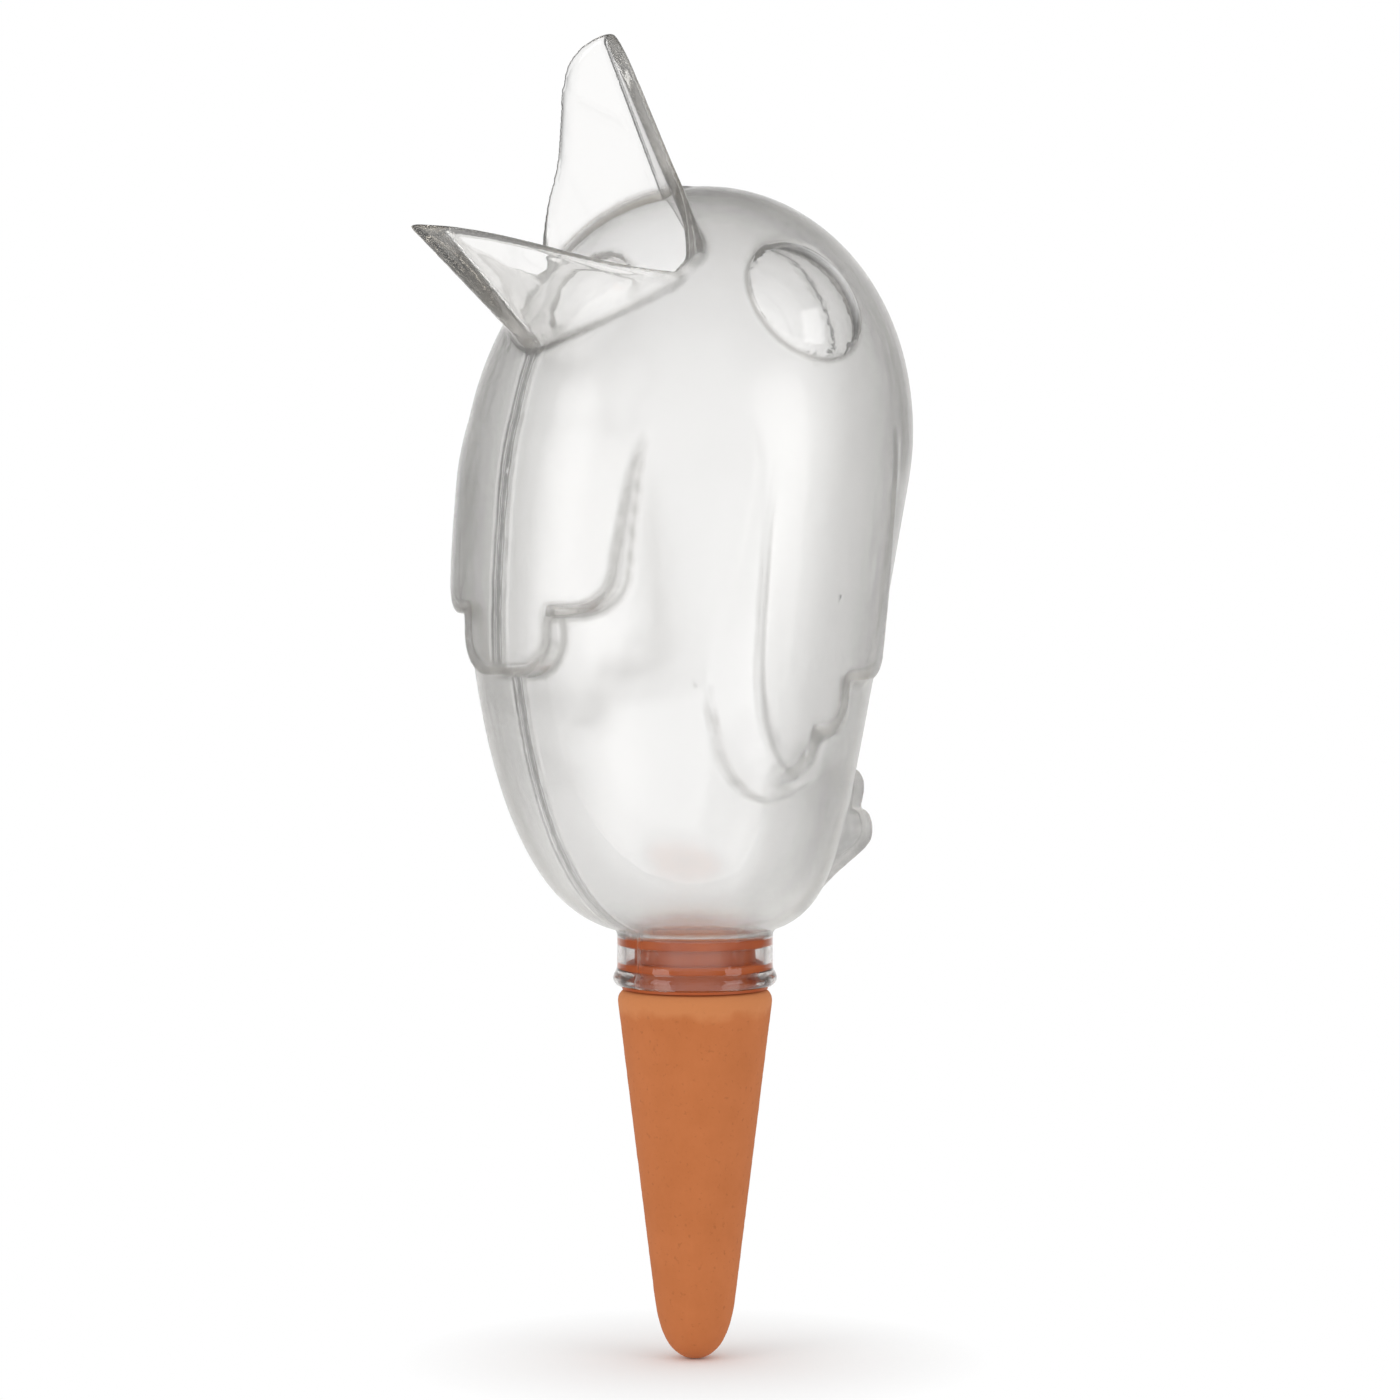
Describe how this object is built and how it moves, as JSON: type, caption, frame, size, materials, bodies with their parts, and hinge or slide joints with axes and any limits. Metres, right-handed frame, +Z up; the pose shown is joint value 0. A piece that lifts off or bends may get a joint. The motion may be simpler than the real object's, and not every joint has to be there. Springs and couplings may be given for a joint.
{
  "type": "self watering spike",
  "caption": "Clear bird-shaped water reservoir with an open beak for filling, seated by its neck and a lipped seal on a porous clay cone that is pushed into plant soil.",
  "frame": {"origin": "on the cone's axis at the soil line, the flat shoulder of the clay cone", "axes": "+Z up along the cone's axis, the beak faces -Y, +X is the bird's left side"},
  "size_m": [0.0778, 0.1113, 0.245],
  "materials": {
    "clear_plastic": "clear moulded, satin belly and polished beak, eyes and neck",
    "seal_rubber": "smooth orange-brown elastomer",
    "fired_clay": "unglazed porous terracotta"
  },
  "bodies": {
    "cone": {"clay_cone": "fired_clay"},
    "seal": {"seal_sleeve": "seal_rubber"},
    "bird": {"left_half": "clear_plastic", "right_half": "clear_plastic"}
  },
  "joints": [
    {"name": "seal_twist", "type": "hinge", "parent": "cone", "child": "seal", "pos_m": [0, 0, 0], "axis": [0, 0, 1], "continuous": true},
    {"name": "bird_lift", "type": "slide", "parent": "seal", "child": "bird", "axis": [0, 0, 1], "range_m": [0, 0.03]}
  ]
}
